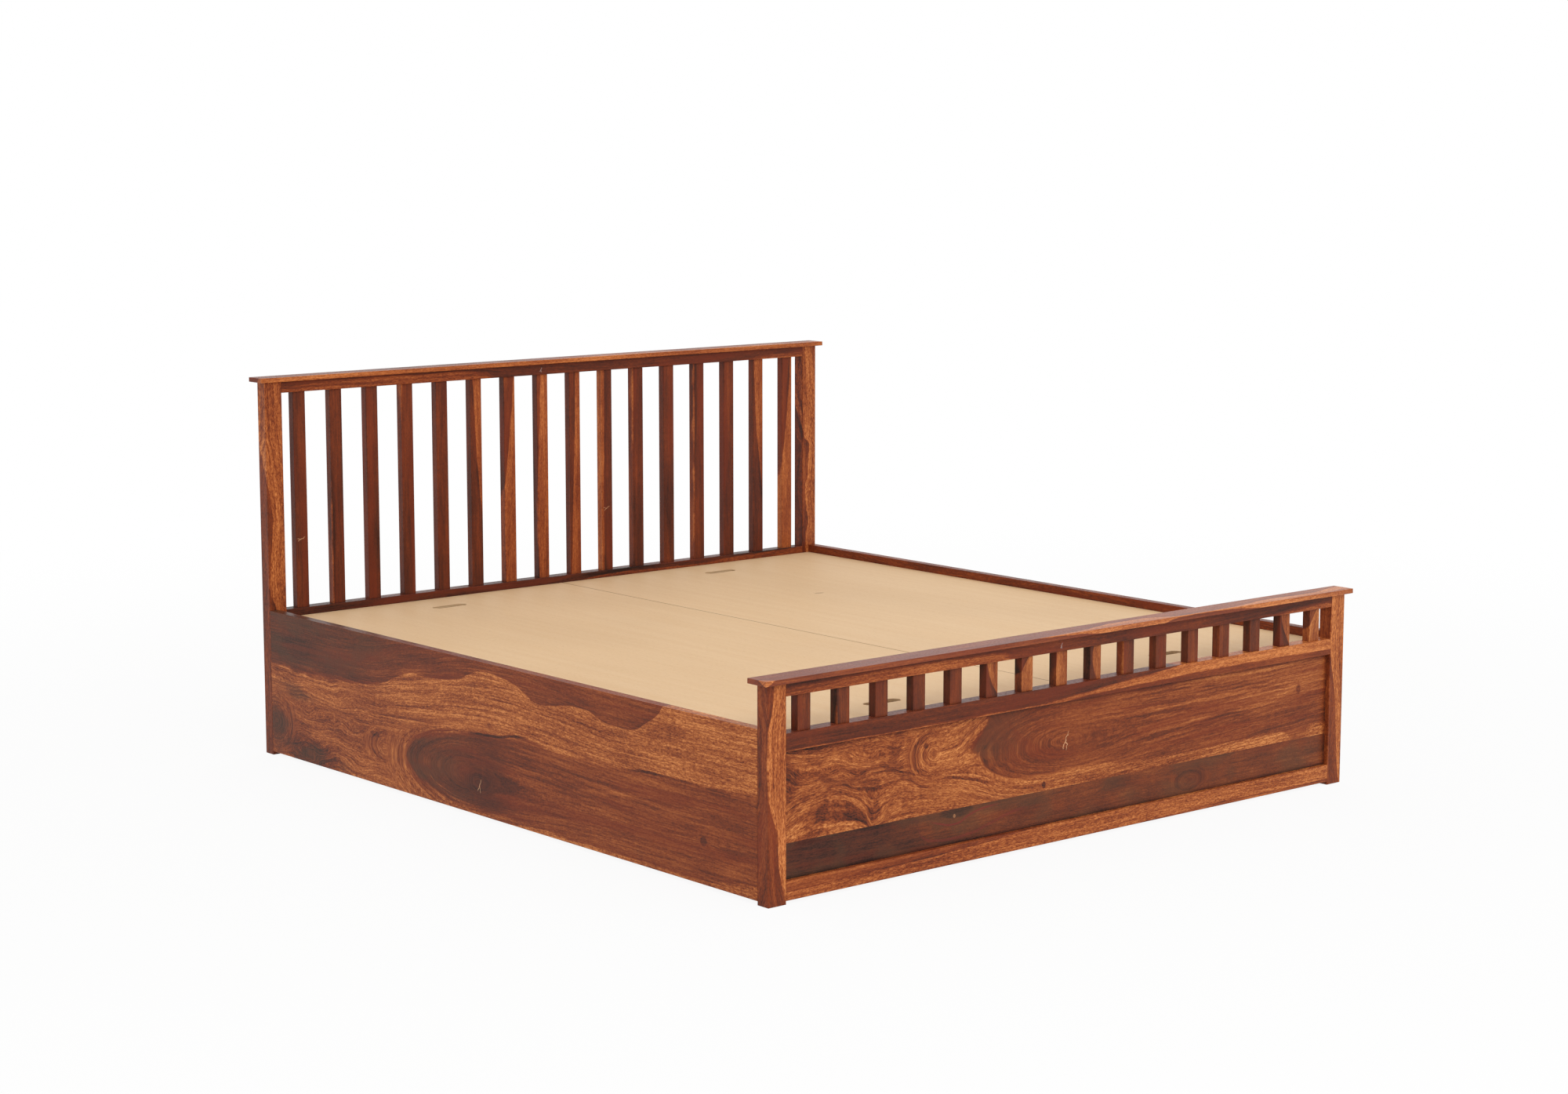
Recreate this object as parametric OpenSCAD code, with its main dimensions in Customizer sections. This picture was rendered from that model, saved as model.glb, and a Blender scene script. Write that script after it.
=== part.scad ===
// Storage bed in solid hardwood with slatted head and foot frames.
// X runs across the bed, +Y runs from the footboard to the headboard, and Z = 0 is the room's floor.
// The middle of the bed is at X = 0 and Y = 0.

/* [Overall] */
// Width over the outer faces of the posts
bed_w = 1905; // [1500:1:2000]
// Length over the outer faces of the posts
bed_l = 2083; // [1900:1:2200]
// Height of the headboard, to the top of its cap
head_h = 1004; // [800:1:1200]
// Height of the footboard, to the top of its cap
foot_h = 500; // [470:1:600]
// Height of the top of the plywood platform
platform_z = 366; // [350:1:372]

/* [Posts and caps] */
// Width of a post, across the bed
post_w = 51; // [46:1:70]
// Thickness of the end frames: the posts and their rails, along the bed
frame_t = 37; // [34:1:45]
// Thickness of a cap
cap_t = 12; // [10:1:20]
// How far a cap stands out past the post at each end
cap_side = 17; // [5:1:30]
// How far a cap stands out past the frame at the front and the back
cap_lip = 13; // [5:1:20]
// Radius of the eased edges on the show wood
ease_r = 1.5; // [0.5:0.1:3]

/* [Frame rails] */
// Height of the rail under a cap
top_rail_h = 30; // [24:1:45]
// Height of the rail that the slats stand on
slat_rail_h = 40; // [36:1:50]
// Height of the underside of the footboard's slat rail
foot_slat_rail_z = 337; // [328:1:345]
// Height of the underside of the headboard's slat rail
head_slat_rail_z = 346; // [330:1:350]
// Height of the bottom rail
bottom_rail_h = 44; // [38:1:60]
// Height of the bottom rail above the floor
bottom_rail_z = 8; // [4:1:12]

/* [Slats] */
// Number of slats in each end frame
slat_n = 16; // [8:1:16]
// Width of a slat
slat_w = 37; // [30:1:50]
// Thickness of a slat
slat_t = 23; // [18:1:28]

/* [Panels] */
// Thickness of the solid panels in the end frames
panel_t = 12; // [9:1:15]
// Height of the glue line between a panel's two boards
panel_joint_z = 132; // [90:1:250]

/* [Side rails] */
// Thickness of a side rail
side_t = 26; // [22:1:30]
// Height of the underside of a side rail
side_z = 9; // [5:1:11]
// Height of the top edge of a side rail
side_top_z = 388; // [376:1:420]

/* [Joinery] */
// Thickness of the rails' tenons
tenon_t = 12; // [9:1:14]
// Length of the rails' tenons
tenon_len = 25; // [15:1:28]
// Shoulder above and below a rail's tenon
tenon_shoulder = 6; // [3:1:8]
// Length of the slats' tenons
slat_tenon_len = 12; // [8:1:14]
// Shoulder at each side of a slat's tenon
slat_shoulder = 5; // [3:1:8]
// Thickness of the slats' tenons
slat_tenon_t = 11; // [8:1:14]
// Depth of the grooves that hold a panel
groove_depth = 8; // [6:1:9]
// Clearance on each cheek of a tenon, tongue or panel
joint_fit = 0.2; // [0.1:0.05:0.4]
// Room left at the end of a tenon, tongue or panel
joint_room = 1; // [0.5:0.1:2]
// Thickness of the tongue on the ends of a side rail
tongue_t = 10; // [6:1:12]
// Length of that tongue
tongue_len = 9; // [6:1:11]
// Shoulder above and below that tongue
tongue_shoulder = 40; // [20:1:60]
// Height of the stub tenon on the top of a post
stub_h = 6; // [4:1:7]
// Shoulder round that stub tenon
stub_shoulder = 10; // [8:1:14]

/* [Platform lids] */
// Thickness of the plywood lids
lid_t = 12; // [9:1:16]
// Gap round each lid and between the two lids
lid_gap = 1.5; // [1:0.1:3]
// Length of a finger slot
slot_len = 106; // [80:1:130]
// Width of a finger slot
slot_w = 32; // [24:1:40]
// Distance from the end of a lid to the middle of a finger slot
slot_inset = 130; // [100:1:250]
// How far a finger slot lies outwards of the middle of its lid
slot_shift = 10; // [0:1:60]

/* [Box inside] */
// Thickness of the partitions
divider_t = 18; // [15:1:25]
// Clearance of the partitions and floor boards to what surrounds them
box_fit = 0.5; // [0.3:0.1:0.8]
// Height of the partition's feet
divider_foot_h = 8; // [4:1:10]
// Length of each foot of the partition
divider_foot_len = 90; // [60:1:140]
// Width of the side cleats under the lids
lid_cleat_w = 25; // [20:1:30]
// Height of the side cleats under the lids
lid_cleat_h = 25; // [20:1:30]
// Thickness of the end cleats under the lids
end_cleat_w = 22; // [18:1:30]
// Height of the end cleats under the lids
end_cleat_h = 40; // [36:1:45]
// Width and height of the cleats under the storage floor
floor_cleat = 18; // [16:1:20]
// Height of the underside of the floor cleats
floor_cleat_z = 12; // [12:1:18]
// Thickness of the storage floor
floor_t = 6; // [4:1:9]

/* [Brackets and screws] */
// Thickness of the steel corner brackets
bracket_t = 3; // [2:0.5:4]
// Length of the bracket's leg along the side rail
bracket_leg = 50; // [35:1:70]
// Height of a corner bracket
bracket_h = 220; // [150:1:225]
// Height of the underside of a corner bracket
bracket_z = 80; // [65:1:85]
// Outer bend radius of a bracket
bracket_bend = 4; // [4:0.5:6]
// How far a bracket stops short of the post's inner edge
bracket_setback = 1; // [0.5:0.5:3]
// Number of screws in each leg of a bracket
bracket_screws = 3; // [2:1:4]
// Diameter of the screws
screw_d = 4.5; // [3.5:0.1:5]
// Diameter of the screw heads
screw_head_d = 9; // [8:0.5:10]
// Height of the screw heads
screw_head_h = 2.6; // [2:0.1:3.5]
// How deep the screws bite into the wood behind
screw_bite = 11; // [8:1:12]
// Clearance round a screw
screw_fit = 0.15; // [0.1:0.05:0.3]
// Number of screws along each long cleat
cleat_screws = 6; // [4:2:8]
// Distance from the end of a long cleat to its first screw
cleat_screw_inset = 90; // [60:1:150]
// How far the screws of the two middle floor cleats are staggered
cleat_screw_stagger = 60; // [40:1:100]

/* [Hidden] */
$fn = 24;
ease_steps = 3;
bend_step = 15;
cut = 1;
foot = -1;
head = 1;
left = -1;
right = 1;

// Middle planes of the end frames, the inner faces of the frames and the inner faces of the posts
end_y = (bed_l - frame_t) / 2;
inner_y = bed_l / 2 - frame_t;
inner_x = bed_w / 2 - post_w;
post_x = (bed_w - post_w) / 2;
// Inner faces of the side rails
side_inner_x = bed_w / 2 - side_t;
side_h = side_top_z - side_z;
side_mid_x = (bed_w - side_t) / 2;
tongue_h = side_h - 2 * tongue_shoulder;

cap_l = bed_w + 2 * cap_side;
cap_w = frame_t + 2 * cap_lip;
tenon_room = tenon_len + joint_room;
slat_tenon_room = slat_tenon_len + joint_room;
groove_t = panel_t + 2 * joint_fit;
slat_pitch = 2 * inner_x / slat_n;
panel_z = bottom_rail_z + bottom_rail_h - groove_depth;

lid_z = platform_z - lid_t;
// A lid reaches from half a gap beside the seam to a whole gap short of the side rail
lid_w = side_inner_x - lid_gap - lid_gap / 2;
lid_l = 2 * (inner_y - lid_gap);
lid_x = lid_gap / 2 + lid_w / 2;

floor_z = floor_cleat_z + floor_cleat;
floor_top_z = floor_z + floor_t;
lap_z = (floor_top_z + lid_z) / 2;
divider_l = 2 * (inner_y - box_fit);
cross_l = 2 * (side_inner_x - box_fit);
floor_inner_x = divider_t / 2 + box_fit;
floor_outer_x = side_inner_x - box_fit;
side_cleat_l = 2 * (inner_y - end_cleat_w - joint_fit);
end_cleat_l = 2 * (side_inner_x - joint_fit);
floor_cleat_l = 2 * (inner_y - box_fit);
// The notches in the partitions where the lid cleats pass
end_notch_y = inner_y - end_cleat_w - box_fit;
end_notch_z = lid_z - end_cleat_h - box_fit;
side_notch_x = side_inner_x - lid_cleat_w - box_fit;
side_notch_z = lid_z - lid_cleat_h - box_fit;

// The bracket's leg on the post covers what the side rail leaves bare
bracket_post_leg = post_w - side_t - bracket_setback;
bracket_screw_step = bracket_h / bracket_screws;
post_screw_x = side_inner_x - bracket_post_leg / 2;
rail_screw_y = inner_y - (bracket_leg + bracket_t) / 2;
end_cleat_screw_z = lid_z - end_cleat_h + screw_head_d;
lid_screw_z = lid_z - lid_cleat_h / 2;
floor_screw_z = floor_cleat_z + floor_cleat / 2;
cleat_screw_step = (side_cleat_l - 2 * cleat_screw_inset) / (cleat_screws - 1);
pilot_r = screw_d / 2 + screw_fit;
screw_room = screw_bite + joint_room;

red_brown = [0.55, 0.27, 0.13];
dark_brown = [0.36, 0.17, 0.11];
honey = [0.72, 0.40, 0.18];
plywood = [0.84, 0.69, 0.51];
steel = [0.62, 0.63, 0.65];

// Height of a post, and of the undersides of the top rail and the slat rail, of the head or foot frame
function post_h(end) = (end == head ? head_h : foot_h) - cap_t;
function top_rail_z(end) = post_h(end) - top_rail_h;
function slat_rail_z(end) = end == head ? head_slat_rail_z : foot_slat_rail_z;
function slat_x(i) = -inner_x + (i - 0.5) * slat_pitch;
// Underside and height of each of the three rails of a frame
function rail_spans(end) = [
    [bottom_rail_z, bottom_rail_h],
    [slat_rail_z(end), slat_rail_h],
    [top_rail_z(end), top_rail_h]
];
function bracket_screw_z(k) = bracket_z + (k - 0.5) * bracket_screw_step;
function cleat_screw_y(k) = -side_cleat_l / 2 + cleat_screw_inset + (k - 1) * cleat_screw_step;
// The screws of the two middle floor cleats are staggered and stop inside the partition
function middle_screw_y(side, k) = cleat_screw_y(k) + (side == right ? cleat_screw_stagger : 0);

// Outline of a rectangle about the origin with its four corners rounded by arcs of a few steps
function eased_rect(w, h, r) = [
    for (corner = [0:3], step = [0:ease_steps])
        let (
            turn = corner * 90 + step * 90 / ease_steps,
            sx = (corner == 0 || corner == 3) ? 1 : -1,
            sy = corner < 2 ? 1 : -1
        )
        [sx * (w / 2 - r) + r * cos(turn), sy * (h / 2 - r) + r * sin(turn)]
];

// A profile drawn in Y and Z and carried along X, and one drawn in X and Z and carried along Y
module along_x(l) {
    rotate([90, 0, 90])
        linear_extrude(height = l, center = true)
            children();
}

module along_y(l) {
    rotate([90, 0, 0])
        linear_extrude(height = l, center = true)
            children();
}

// A bar of show wood standing on its end, and a bar lying across the bed on z = 0
module eased_upright(w, d, h) {
    linear_extrude(height = h)
        polygon(eased_rect(w, d, ease_r));
}

module eased_beam(l, d, h) {
    translate([0, 0, h / 2])
        along_x(l)
            polygon(eased_rect(d, h, ease_r));
}

// A board with every edge eased
module eased_board(l, d, h) {
    intersection() {
        eased_beam(l, d, h);
        eased_upright(l, d, h);
        translate([0, 0, h / 2])
            along_y(d)
                polygon(eased_rect(l, h, ease_r));
    }
}

// A block about x = 0 and y = 0 with its underside at z
module block(size, z) {
    translate([-size[0] / 2, -size[1] / 2, z])
        cube(size);
}

// What is drawn for the left of the foot is turned over to the other side or the other end
module at_side(side) {
    if (side == left) children();
    else mirror([1, 0, 0]) children();
}

module at_end(end) {
    if (end == foot) children();
    else mirror([0, 1, 0]) children();
}

module at_frame(end) {
    translate([0, end * end_y, 0])
        children();
}

// The post of the left side of the foot, or of the head frame when its height and rails are the head's
module corner_post(end) {
    stub = [post_w - 2 * stub_shoulder, frame_t - 2 * stub_shoulder, stub_h];
    mortise_t = tenon_t + 2 * joint_fit;
    tongue_room = tongue_len + joint_room;
    slot_t = tongue_t + 2 * joint_fit;
    groove_h = slat_rail_z(end) - panel_z + groove_depth;
    color(honey)
    difference() {
        translate([-post_x, -end_y, 0])
            union() {
                intersection() {
                    eased_board(post_w, frame_t, post_h(end) + 2 * ease_r);
                    block([post_w, frame_t, post_h(end)], 0);
                }
                block(stub, post_h(end));
            }
        for (span = rail_spans(end))
            translate([-inner_x - tenon_room, -end_y - mortise_t / 2, span[0] + tenon_shoulder - joint_fit])
                cube([tenon_room + cut, mortise_t, span[1] - 2 * tenon_shoulder + 2 * joint_fit]);
        translate([-inner_x - groove_depth, -end_y - groove_t / 2, panel_z])
            cube([groove_depth + cut, groove_t, groove_h]);
        translate([-side_mid_x - slot_t / 2, -inner_y - tongue_room, side_z + tongue_shoulder - joint_fit])
            cube([slot_t, tongue_room + cut, tongue_h + 2 * joint_fit]);
        for (z = post_screw_heights())
            translate([-post_screw_x, -inner_y + cut, z])
                rotate([90, 0, 0])
                    cylinder(r = pilot_r, h = screw_room + cut);
    }
}

// The screws that enter the post's inner face: those of the bracket, and one through the end cleat
function post_screw_heights() = concat(
    [for (k = [1:bracket_screws]) bracket_screw_z(k)],
    [end_cleat_screw_z]
);

// A beam between two posts with a tenon at each end
module tenoned_beam(z, h) {
    translate([0, 0, z])
        eased_beam(2 * inner_x, frame_t, h);
    block([2 * (inner_x + tenon_len), tenon_t, h - 2 * tenon_shoulder], z + tenon_shoulder);
}

// The mortises for a row of slats, with their mouths at mouth_z and cut downwards or upwards
module slat_mortises(mouth_z, direction) {
    w = slat_w - 2 * slat_shoulder + 2 * joint_fit;
    t = slat_tenon_t + 2 * joint_fit;
    low_z = direction < 0 ? mouth_z - slat_tenon_room : mouth_z - cut;
    for (i = [1:slat_n])
        translate([slat_x(i), 0, 0])
            block([w, t, slat_tenon_room + cut], low_z);
}

module top_rail(end) {
    color(red_brown)
    at_frame(end)
        difference() {
            tenoned_beam(top_rail_z(end), top_rail_h);
            slat_mortises(top_rail_z(end), 1);
        }
}

module slat_rail(end) {
    z = slat_rail_z(end);
    color(dark_brown)
    at_frame(end)
        difference() {
            tenoned_beam(z, slat_rail_h);
            slat_mortises(z + slat_rail_h, -1);
            block([2 * (inner_x + tenon_room), groove_t, groove_depth + cut], z - cut);
        }
}

module bottom_rail(end) {
    top_z = bottom_rail_z + bottom_rail_h;
    color(red_brown)
    at_frame(end)
        difference() {
            tenoned_beam(bottom_rail_z, bottom_rail_h);
            block([2 * (inner_x + tenon_room), groove_t, groove_depth + cut], top_z - groove_depth);
        }
}

module slat(end, i) {
    low_z = slat_rail_z(end) + slat_rail_h;
    body_h = top_rail_z(end) - low_z;
    color(red_brown)
    at_frame(end)
        translate([slat_x(i), 0, low_z]) {
            eased_upright(slat_w, slat_t, body_h);
            block([slat_w - 2 * slat_shoulder, slat_tenon_t, body_h + 2 * slat_tenon_len], -slat_tenon_len);
        }
}

// The two boards of a panel meet at the glue line, and the upper one keeps room to swell in its groove
module panel_board(end, low_z, high_z) {
    color(honey)
    at_frame(end)
        block([2 * (inner_x + groove_depth - joint_room), panel_t, high_z - low_z], low_z);
}

module panel_upper_board(end) {
    panel_board(end, panel_joint_z, slat_rail_z(end) + groove_depth - joint_room);
}

module panel_lower_board(end) {
    panel_board(end, panel_z, panel_joint_z);
}

// A cap has a blind mortise over the stub tenon of each post
module cap(end) {
    w = post_w - 2 * stub_shoulder + 2 * joint_fit;
    t = frame_t - 2 * stub_shoulder + 2 * joint_fit;
    color(red_brown)
    at_frame(end)
        difference() {
            translate([0, 0, post_h(end)])
                eased_board(cap_l, cap_w, cap_t);
            for (side = [left, right])
                translate([side * post_x, 0, 0])
                    block([w, t, stub_h + joint_room + cut], post_h(end) - cut);
        }
}

// Screw holes in the inner face of a side rail: the brackets', the lid cleat's and the floor cleat's
module side_rail_bores() {
    depth = screw_room + cut;
    for (end = [foot, head], k = [1:bracket_screws])
        translate([cut - side_inner_x, end * rail_screw_y, bracket_screw_z(k)])
            rotate([0, -90, 0])
                cylinder(r = pilot_r, h = depth);
    for (k = [1:cleat_screws], z = [lid_screw_z, floor_screw_z])
        translate([cut - side_inner_x, cleat_screw_y(k), z])
            rotate([0, -90, 0])
                cylinder(r = pilot_r, h = depth);
}

module side_rail(side) {
    color(red_brown)
    at_side(side)
        difference() {
            translate([-side_mid_x, 0, 0]) {
                translate([0, 0, side_z + side_h / 2])
                    along_y(2 * inner_y)
                        polygon(eased_rect(side_t, side_h, ease_r));
                block([tongue_t, 2 * (inner_y + tongue_len), tongue_h], side_z + tongue_shoulder);
            }
            side_rail_bores();
        }
}

// A lid has a long finger slot with round ends near its head and near its foot
module finger_slot() {
    reach = (slot_len - slot_w) / 2;
    square([2 * reach, slot_w], center = true);
    for (side = [left, right])
        translate([side * reach, 0])
            circle(d = slot_w);
}

module lid(side) {
    color(plywood)
    translate([side * lid_x, 0, lid_z])
        linear_extrude(height = lid_t)
            difference() {
                square([lid_w, lid_l], center = true);
                for (end = [foot, head])
                    translate([side * slot_shift, end * (lid_l / 2 - slot_inset)])
                        finger_slot();
            }
}

// The lengthwise partition stands on its own feet and is notched over the end cleats.
// It and the cross partition are halved into each other, and its slot is in the upper half.
module centre_divider() {
    half = divider_l / 2;
    reach = half - divider_foot_len;
    mid = divider_foot_len / 2;
    slot = divider_t / 2 + joint_fit;
    color(plywood)
    difference() {
        along_x(divider_t)
            polygon([
                [-half, 0], [-reach, 0], [-reach, divider_foot_h], [-mid, divider_foot_h],
                [-mid, 0], [mid, 0], [mid, divider_foot_h], [reach, divider_foot_h],
                [reach, 0], [half, 0], [half, end_notch_z], [end_notch_y, end_notch_z],
                [end_notch_y, lid_z], [slot, lid_z], [slot, lap_z], [-slot, lap_z],
                [-slot, lid_z], [-end_notch_y, lid_z], [-end_notch_y, end_notch_z], [-half, end_notch_z]
            ]);
        for (side = [left, right], k = [1:cleat_screws])
            translate([side * (divider_t / 2 + cut), middle_screw_y(side, k), floor_screw_z])
                rotate([0, -side * 90, 0])
                    cylinder(r = pilot_r, h = screw_room + cut);
    }
}

module cross_divider() {
    half = cross_l / 2;
    slot = divider_t / 2 + joint_fit;
    color(plywood)
    along_y(divider_t)
        polygon([
            [-half, floor_top_z], [-slot, floor_top_z], [-slot, lap_z], [slot, lap_z],
            [slot, floor_top_z], [half, floor_top_z], [half, side_notch_z], [side_notch_x, side_notch_z],
            [side_notch_x, lid_z], [-side_notch_x, lid_z], [-side_notch_x, side_notch_z],
            [-half, side_notch_z]
        ]);
}

// A clearance hole for each screw of a long cleat, drilled across it
module long_cleat(x, w, h, l, z, shift) {
    difference() {
        translate([x, 0, 0])
            block([w, l, h], z);
        for (k = [1:cleat_screws])
            translate([x, cleat_screw_y(k) + shift, z + h / 2])
                rotate([0, 90, 0])
                    cylinder(r = pilot_r, h = w + 2 * cut, center = true);
    }
}

module lid_cleats() {
    color(honey) {
        for (side = [left, right])
            long_cleat(side * (side_inner_x - lid_cleat_w / 2), lid_cleat_w, lid_cleat_h, side_cleat_l,
                       lid_z - lid_cleat_h, 0);
        for (end = [foot, head])
            at_end(end)
                difference() {
                    translate([0, -inner_y + end_cleat_w / 2, 0])
                        block([end_cleat_l, end_cleat_w, end_cleat_h], lid_z - end_cleat_h);
                    for (side = [left, right])
                        translate([side * post_screw_x, -inner_y + end_cleat_w / 2, end_cleat_screw_z])
                            rotate([90, 0, 0])
                                cylinder(r = pilot_r, h = end_cleat_w + 2 * cut, center = true);
                }
    }
}

module floor_cleats() {
    color(honey)
    for (side = [left, right]) {
        long_cleat(side * (side_inner_x - floor_cleat / 2), floor_cleat, floor_cleat, floor_cleat_l,
                   floor_cleat_z, 0);
        long_cleat(side * (divider_t + floor_cleat) / 2, floor_cleat, floor_cleat, floor_cleat_l,
                   floor_cleat_z, side == right ? cleat_screw_stagger : 0);
    }
}

module storage_floor(side) {
    color(plywood)
    translate([side * (floor_inner_x + floor_outer_x) / 2, 0, 0])
        block([floor_outer_x - floor_inner_x, 2 * (inner_y - box_fit), floor_t], floor_z);
}

// Points of a round bend from one angle to another about a centre
function bend(x, y, r, from, to) = [
    for (turn = [from:(to > from ? bend_step : -bend_step):to]) [x + r * cos(turn), y + r * sin(turn)]
];

// A steel angle, bent with a round corner, in each inside corner of the box
module corner_bracket() {
    x = -side_inner_x;
    y = -inner_y;
    bend_x = x + bracket_bend;
    bend_y = y + bracket_bend;
    inner_bend = bracket_bend - bracket_t;
    difference() {
        translate([0, 0, bracket_z])
            linear_extrude(height = bracket_h)
                polygon(concat(
                    bend(bend_x, bend_y, bracket_bend, 180, 270),
                    [[x + bracket_post_leg, y], [x + bracket_post_leg, y + bracket_t]],
                    bend(bend_x, bend_y, inner_bend, 270, 180),
                    [[x + bracket_t, y + bracket_leg], [x, y + bracket_leg]]
                ));
        for (k = [1:bracket_screws]) {
            translate([-post_screw_x, y + bracket_t / 2, bracket_screw_z(k)])
                rotate([90, 0, 0])
                    cylinder(r = pilot_r, h = bracket_t + 2 * cut, center = true);
            translate([x + bracket_t / 2, -rail_screw_y, bracket_screw_z(k)])
                rotate([0, 90, 0])
                    cylinder(r = pilot_r, h = bracket_t + 2 * cut, center = true);
        }
    }
}

module corner_brackets() {
    color(steel)
    for (side = [left, right], end = [foot, head])
        at_side(side)
            at_end(end)
                corner_bracket();
}

// A pan-head screw with its head on z = 0 and its shank through a plate and into the wood below
module screw(plate) {
    cylinder(d = screw_head_d, h = screw_head_h);
    translate([0, 0, -plate - screw_bite])
        cylinder(d = screw_d, h = plate + screw_bite);
}

module corner_screws() {
    for (k = [1:bracket_screws]) {
        translate([-post_screw_x, -inner_y + bracket_t, bracket_screw_z(k)])
            rotate([-90, 0, 0])
                screw(bracket_t);
        translate([-side_inner_x + bracket_t, -rail_screw_y, bracket_screw_z(k)])
            rotate([0, 90, 0])
                screw(bracket_t);
    }
    translate([-post_screw_x, -inner_y + end_cleat_w, end_cleat_screw_z])
        rotate([-90, 0, 0])
            screw(end_cleat_w);
}

module wood_screws() {
    color(steel) {
        for (side = [left, right], end = [foot, head])
            at_side(side)
                at_end(end)
                    corner_screws();
        for (side = [left, right], k = [1:cleat_screws]) {
            translate([side * (side_inner_x - lid_cleat_w), cleat_screw_y(k), lid_screw_z])
                rotate([0, -side * 90, 0])
                    screw(lid_cleat_w);
            translate([side * (side_inner_x - floor_cleat), cleat_screw_y(k), floor_screw_z])
                rotate([0, -side * 90, 0])
                    screw(floor_cleat);
            translate([side * (divider_t / 2 + floor_cleat), middle_screw_y(side, k), floor_screw_z])
                rotate([0, side * 90, 0])
                    screw(floor_cleat);
        }
    }
}

cap(head);  // head_cap
top_rail(head);  // head_top_rail
at_end(head) corner_post(head);  // head_left_post
at_side(right) at_end(head) corner_post(head);  // head_right_post
slat_rail(head);  // head_slat_rail
panel_upper_board(head);  // head_panel_upper_board
panel_lower_board(head);  // head_panel_lower_board
bottom_rail(head);  // head_bottom_rail
for (i = [1:slat_n])
    slat(head, i);
cap(foot);  // foot_cap
top_rail(foot);  // foot_top_rail
corner_post(foot);  // foot_left_post
at_side(right) corner_post(foot);  // foot_right_post
slat_rail(foot);  // foot_slat_rail
panel_upper_board(foot);  // foot_panel_upper_board
panel_lower_board(foot);  // foot_panel_lower_board
bottom_rail(foot);  // foot_bottom_rail
for (i = [1:slat_n])
    slat(foot, i);
side_rail(left);  // left_side_rail
side_rail(right);  // right_side_rail
lid(left);  // left_lid
lid(right);  // right_lid
centre_divider();
cross_divider();
lid_cleats();
floor_cleats();
storage_floor(left);  // left_storage_floor
storage_floor(right);  // right_storage_floor
corner_brackets();
wood_screws();
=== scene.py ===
import math

import bpy
import numpy as np
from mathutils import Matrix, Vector

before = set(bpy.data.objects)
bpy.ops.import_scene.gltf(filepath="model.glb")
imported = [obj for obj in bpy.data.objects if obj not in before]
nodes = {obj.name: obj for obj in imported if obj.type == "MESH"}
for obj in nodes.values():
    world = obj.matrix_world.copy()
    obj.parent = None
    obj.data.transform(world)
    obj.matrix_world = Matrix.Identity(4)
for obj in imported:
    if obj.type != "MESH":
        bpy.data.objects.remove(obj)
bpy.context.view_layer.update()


def box(name):
    """The lowest and the highest x, y and z of a CAD node, in metres, to a hundredth of a millimetre."""
    mesh = nodes[name].data
    places = np.empty(len(mesh.vertices) * 3, np.float32)
    mesh.vertices.foreach_get("co", places)
    places = places.reshape(-1, 3)
    return [[round(float(v), 5) for v in corner] for corner in (places.min(axis=0), places.max(axis=0))]


# Sizes of the bed in metres, from its middle. +Y is the head end and z = 0 is the room's floor. INNER_X
# and INNER_Y are the inner sides of the posts, and HALF_L is the outer side of the end frames.
(INNER_X, INNER_Y, _), (_, HALF_L, _) = box("head_right_post")
SLATS = 16
SLAT_W = 0.037
PITCH = 2 * INNER_X / SLATS
END_CLEAT_W = 0.022


def linear(red, green, blue):
    """A colour from 0 to 255 in display values, as the linear colour that a shader takes."""
    shares = np.array([red, green, blue]) / 255
    light = np.where(shares <= 0.04045, shares / 12.92, ((shares + 0.055) / 1.055) ** 2.4)
    return (*light.tolist(), 1.0)


class Signal:
    """One output of a node in a finish. Arithmetic on it adds Math nodes to the same finish."""

    def __init__(self, finish, socket):
        self.finish = finish
        self.socket = socket

    def math(self, operation, *terms):
        return self.finish.node("ShaderNodeMath", {"operation": operation}, *terms)

    def __add__(self, other):
        return self.math("ADD", self, other)

    def __radd__(self, other):
        return self.math("ADD", other, self)

    def __sub__(self, other):
        return self.math("SUBTRACT", self, other)

    def __rsub__(self, other):
        return self.math("SUBTRACT", other, self)

    def __mul__(self, other):
        return self.math("MULTIPLY", self, other)

    def __rmul__(self, other):
        return self.math("MULTIPLY", other, self)

    def __truediv__(self, other):
        return self.math("DIVIDE", self, other)

    def __pow__(self, other):
        return self.math("POWER", self, other)

    def __abs__(self):
        return self.math("ABSOLUTE", self)

    def least(self, other):
        return self.math("MINIMUM", self, other)

    def most(self, other):
        return self.math("MAXIMUM", self, other)

    def wave(self):
        return self.math("SINE", self)

    def beside(self, name):
        """Another output of the same node."""
        return Signal(self.finish, self.socket.node.outputs[name])


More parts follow.
